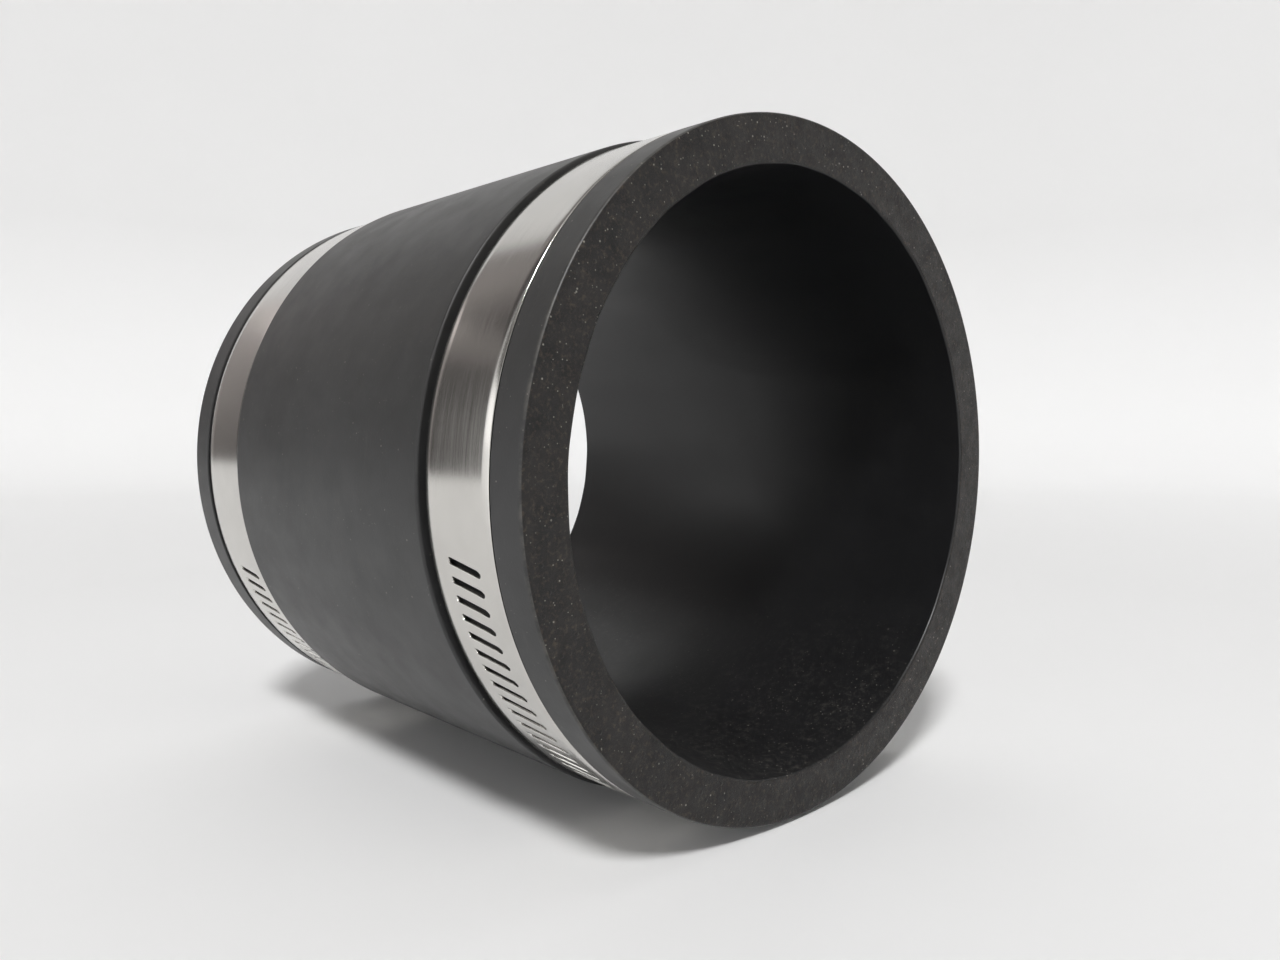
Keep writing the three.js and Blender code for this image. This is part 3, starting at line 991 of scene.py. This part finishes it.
def turned_solid(name, profile, middle, segments=48):
    """A closed solid turned about the screw's axis from (along, radius), both ends on the axis."""
    inner = profile[1:-1]
    count = len(inner)
    verts = [on_screw(profile[0][0], 0.0, 0.0, middle), on_screw(profile[-1][0], 0.0, 0.0, middle)]
    for s in range(segments):
        verts += [on_screw(a, r, 2 * math.pi * s / segments, middle) for a, r in inner]
    faces = []
    for s in range(segments):
        a, b = 2 + s * count, 2 + ((s + 1) % segments) * count
        faces.append((0, a, b))
        faces.append((1, b + count - 1, a + count - 1))
        faces += [(a + i, a + i + 1, b + i + 1, b + i) for i in range(count - 1)]
    return outward(new_object(name, verts, faces))


def screw_profile():
    """(along, radius) of the tip, core, neck and collar, towards the head."""
    sizes = clamp_sizes()
    wall_out = sizes.housing_length / 2
    core = wall_out - CORE_SETBACK
    collar = wall_out + sizes.clearance
    face = collar + COLLAR_THICKNESS
    neck, root, brim = sizes.neck_radius, sizes.root_radius, COLLAR_RADIUS
    edge = 0.25 * MM
    tip = wall_out + TIP_REACH
    return [
        (tip, 0.0),
        (tip, neck - edge),
        (tip - edge, neck),
        (core, neck),
        (core, root),
        (-core, root),
        (-core, neck),
        (-collar, neck),
        (-collar, brim - 0.1 * MM),
        (-collar - 0.1 * MM, brim),
        (-collar - 0.6 * MM, brim),
        (-face, brim - edge),
        (-face, 0.0),
    ]


def thread_solid(middle):
    """The worm thread: a right-hand ridge with a round crest, fading out at both ends."""
    sizes = clamp_sizes()
    core = sizes.housing_length / 2 - CORE_SETBACK
    turns = (2 * core - 1.5 * MM) / sizes.slot_pitch
    steps = math.ceil(turns * 40)
    sink = 0.25 * MM
    depth = sizes.worm_radius - sizes.root_radius
    ridge = [(-0.75, -sink / depth), (-0.66, 0.05), (-0.40, 0.88), (-0.28, 1.0)]
    ridge += [(-a, h) for a, h in reversed(ridge)]
    placed = []
    for s in range(steps + 1):
        turn = turns * (s / steps - 0.5)
        fade = smooth_step(turns / 2 - abs(turn), 0.0, 0.45)
        for a, h in ridge:
            height = h * fade if h > 0 else h
            radius = sizes.root_radius + depth * height - 0.02 * MM * (1 - fade)
            along = turn * sizes.slot_pitch + a * MM
            placed.append(on_screw(along, radius, 2 * math.pi * turn, middle))
    return outward(new_object("thread", placed, swept_faces(len(ridge), steps)))


def hexagon_head(middle):
    """The hexagon head, with its corners turned off at the end, and the driver slot."""
    sizes = clamp_sizes()
    start = sizes.housing_length / 2 + sizes.clearance + HEAD_SINK
    end = sizes.housing_length / 2 + sizes.clearance + COLLAR_THICKNESS + sizes.head_height
    corner = sizes.head_across_flats / math.sqrt(3)
    flats = []
    for k in range(6):
        turn = math.radians(60 * k)
        flats.append(Vector((corner * math.cos(turn), SCREW_RADIUS + corner * math.sin(turn))))
    head = prism("head", flats, start, end, at_housing, middle)
    dome = [
        (-start + 1 * MM, 0.0),
        (-start + 1 * MM, corner + 0.5 * MM),
        (-end + 1.1 * MM, corner + 0.1 * MM),
        (-end + 0.35 * MM, corner - 0.62 * MM),
        (-end, corner - 1.15 * MM),
        (-end, 0.0),
    ]
    combine(head, turned_solid("dome", dome, middle, 64), "INTERSECT")
    deep, wide, long = DRIVER_SLOT_DEPTH, DRIVER_SLOT_WIDTH, sizes.head_across_flats
    low, high = SCREW_RADIUS - wide / 2, SCREW_RADIUS + wide / 2
    slot = [(-long, low), (long, low), (long, high), (-long, high)]
    combine(head, prism("slot", slot, end - deep, end + deep, at_housing, middle), "DIFFERENCE")
    return bevel(head, 0.08 * MM, 2, 30)


def make_screw(clamp):
    """One worm screw: core with neck and collar, thread, and hexagon head with a driver slot."""
    middle = clamp_middle(clamp)
    screw = turned_solid(f"{clamp}_worm_screw", screw_profile(), middle)
    combine(screw, thread_solid(middle), "UNION")
    combine(screw, hexagon_head(middle), "UNION")
    screw.data.materials.append(bpy.data.materials["turned_steel"])
    soften(screw, 32)
    return finish_piece(screw, f"{clamp}_screw", "screw_steel", f"{clamp}_screw")


# ---- the stage ----
FLOOR_RADIUS = 0.85
WALL_BEND = 0.35
WALL_HEIGHT = 1.5
LOW_WALL_HEIGHT = 0.55
WALL_GLOW = 0.16
STRIPE_GLOW = 0.7
# tone of the dim panel at shares of the wall's height
PANEL_TONES = ((0.0, 0.34), (0.25, 0.36), (0.33, 0.42), (0.37, 1.0), (0.42, 1.0), (0.47, 0.28), (1.0, 0.4))
WALL_STEP = 3
HIGH_WALL = (-36, 132)  # azimuths between which the wall stands high
VIEW_ALONG = Vector((0.677, 0.733, -0.0646)).normalized()
CAMERA_SIDE = -2.258  # in rim radii: sideways, out from the front end, and up
CAMERA_OUT = -1.746
CAMERA_UP = 0.168
LENS_MM = 27.66
SENSOR_MM = 36.0
ROOM_TONE = (0.17, 0.165, 0.16, 1.0)


def make_floor():
    """A round floor that bends up into a wall all round, high behind and low in front."""
    ground = CAD_BOX[0].z
    bend = arc_points((FLOOR_RADIUS, WALL_BEND), WALL_BEND, -math.pi / 2, 0.0, 12)
    verts, faces = [(0.0, 0.0, ground)], []
    steps = 360 // WALL_STEP
    count = len(bend) + 1
    for step in range(steps):
        degrees = HIGH_WALL[0] + WALL_STEP * step
        angle = math.radians(degrees)
        top = WALL_HEIGHT if degrees <= HIGH_WALL[1] else LOW_WALL_HEIGHT
        line = [*bend, (FLOOR_RADIUS + WALL_BEND, top)]
        verts += [(r * math.cos(angle), r * math.sin(angle), ground + h) for r, h in line]
    for step in range(steps):
        a, b = 1 + step * count, 1 + ((step + 1) % steps) * count
        faces.append((0, a, b))
        faces += [(a + k, a + k + 1, b + k + 1, b + k) for k in range(count - 1)]
    floor = new_object("floor", verts, faces)
    floor.data.materials.append(studio_card())
    floor.data.shade_smooth()


def add_area_light(name, place, target, size, power):
    light = bpy.data.lights.new(name, "AREA")
    light.shape = "RECTANGLE"
    light.size, light.size_y = size, size
    light.energy = power
    obj = bpy.data.objects.new(name, light)
    obj.location = place
    obj.rotation_euler = (Vector(target) - Vector(place)).to_track_quat("-Z", "Y").to_euler()
    bpy.context.scene.collection.objects.link(obj)


def add_room():
    """The unlit room above the walls."""
    world = bpy.data.worlds.new("room")
    world.use_nodes = True
    world.node_tree.nodes["Background"].inputs["Color"].default_value = ROOM_TONE
    bpy.context.scene.world = world


def add_camera():
    """The camera stands in front, to the left and a little above the sleeve's axis."""
    rim = sleeve_sizes().rim_radius
    camera = bpy.data.cameras.new("camera")
    camera.lens, camera.sensor_width = LENS_MM, SENSOR_MM
    camera.clip_start, camera.clip_end = 0.01, 20.0
    obj = bpy.data.objects.new("camera", camera)
    obj.location = (CAMERA_SIDE * rim, -SLEEVE_HALF + CAMERA_OUT * rim, CAMERA_UP * rim)
    obj.rotation_euler = VIEW_ALONG.to_track_quat("-Z", "Y").to_euler()
    bpy.context.scene.collection.objects.link(obj)
    bpy.context.scene.camera = obj


# ---- operators ----
class COUPLING_OT_sleeve(bpy.types.Operator):
    """Make the rubber sleeve"""

    bl_idname = "coupling.sleeve"
    bl_label = "Rubber Sleeve"

    def execute(self, context):
        make_sleeve()
        return {"FINISHED"}


class COUPLING_OT_steel(bpy.types.Operator):
    """Make the steel finishes that the clamps share"""

    bl_idname = "coupling.steel"
    bl_label = "Steel Finishes"

    def execute(self, context):
        strip_steel()
        pressed_steel()
        turned_steel()
        return {"FINISHED"}


class COUPLING_OT_bands(bpy.types.Operator):
    """Make both clamps' strips: the rings and their free ends"""

    bl_idname = "coupling.bands"
    bl_label = "Clamp Bands"

    def execute(self, context):
        for clamp in CLAMPS:
            make_band(clamp)
            make_tail(clamp)
        return {"FINISHED"}


class COUPLING_OT_saddles(bpy.types.Operator):
    """Make the saddle under each clamp's screw"""

    bl_idname = "coupling.saddles"
    bl_label = "Saddles"

    def execute(self, context):
        for clamp in CLAMPS:
            make_saddle(clamp)
        return {"FINISHED"}


class COUPLING_OT_housings(bpy.types.Operator):
    """Make the housing over each clamp's screw"""

    bl_idname = "coupling.housings"
    bl_label = "Screw Housings"

    def execute(self, context):
        for clamp in CLAMPS:
            make_housing(clamp)
        return {"FINISHED"}


class COUPLING_OT_screws(bpy.types.Operator):
    """Make each clamp's worm screw"""

    bl_idname = "coupling.screws"
    bl_label = "Worm Screws"

    def execute(self, context):
        for clamp in CLAMPS:
            make_screw(clamp)
        return {"FINISHED"}


class COUPLING_OT_stage(bpy.types.Operator):
    """Make the floor, the lights and the camera"""

    bl_idname = "coupling.stage"
    bl_label = "Stage"

    def execute(self, context):
        make_floor()
        add_room()
        add_area_light("key", place=(-0.93, -0.85, 1.55), target=(0.0, 0.0, 0.0), size=0.32, power=30.0)
        add_area_light("overhead", place=(0.2, 0.2, 1.9), target=(0.2, 0.2, 0.0), size=1.8, power=2.5)
        add_camera()
        context.scene.view_settings.view_transform = "Standard"
        return {"FINISHED"}


OPERATORS = (
    COUPLING_OT_sleeve,
    COUPLING_OT_steel,
    COUPLING_OT_bands,
    COUPLING_OT_saddles,
    COUPLING_OT_housings,
    COUPLING_OT_screws,
    COUPLING_OT_stage,
)


class COUPLING_PT_panel(bpy.types.Panel):
    """Lists the coupling's pieces, sizes and colours"""

    bl_idname = "COUPLING_PT_panel"
    bl_label = "Pipe Coupling"
    bl_space_type = "VIEW_3D"
    bl_region_type = "UI"
    bl_category = "Coupling"

    def draw(self, context):
        for operator in OPERATORS:
            self.layout.operator(operator.bl_idname)
        for title, group in (
            ("Sleeve", context.scene.coupling_sleeve),
            ("Clamps", context.scene.coupling_clamp),
            ("Colours", context.scene.coupling_colours),
        ):
            self.layout.label(text=title)
            for key in group.__annotations__:
                self.layout.prop(group, key)


CLASSES = (SleeveSizes, ClampSizes, CouplingColours, *OPERATORS, COUPLING_PT_panel)


def register():
    for cls in CLASSES:
        bpy.utils.register_class(cls)
    bpy.types.Scene.coupling_sleeve = bpy.props.PointerProperty(type=SleeveSizes)
    bpy.types.Scene.coupling_clamp = bpy.props.PointerProperty(type=ClampSizes)
    bpy.types.Scene.coupling_colours = bpy.props.PointerProperty(type=CouplingColours)


def unregister():
    del bpy.types.Scene.coupling_colours
    del bpy.types.Scene.coupling_clamp
    del bpy.types.Scene.coupling_sleeve
    for cls in reversed(CLASSES):
        bpy.utils.unregister_class(cls)


def main():
    register()
    for operator in OPERATORS:
        group, name = operator.bl_idname.split(".")
        getattr(getattr(bpy.ops, group), name)()


if __name__ == "__main__":
    main()
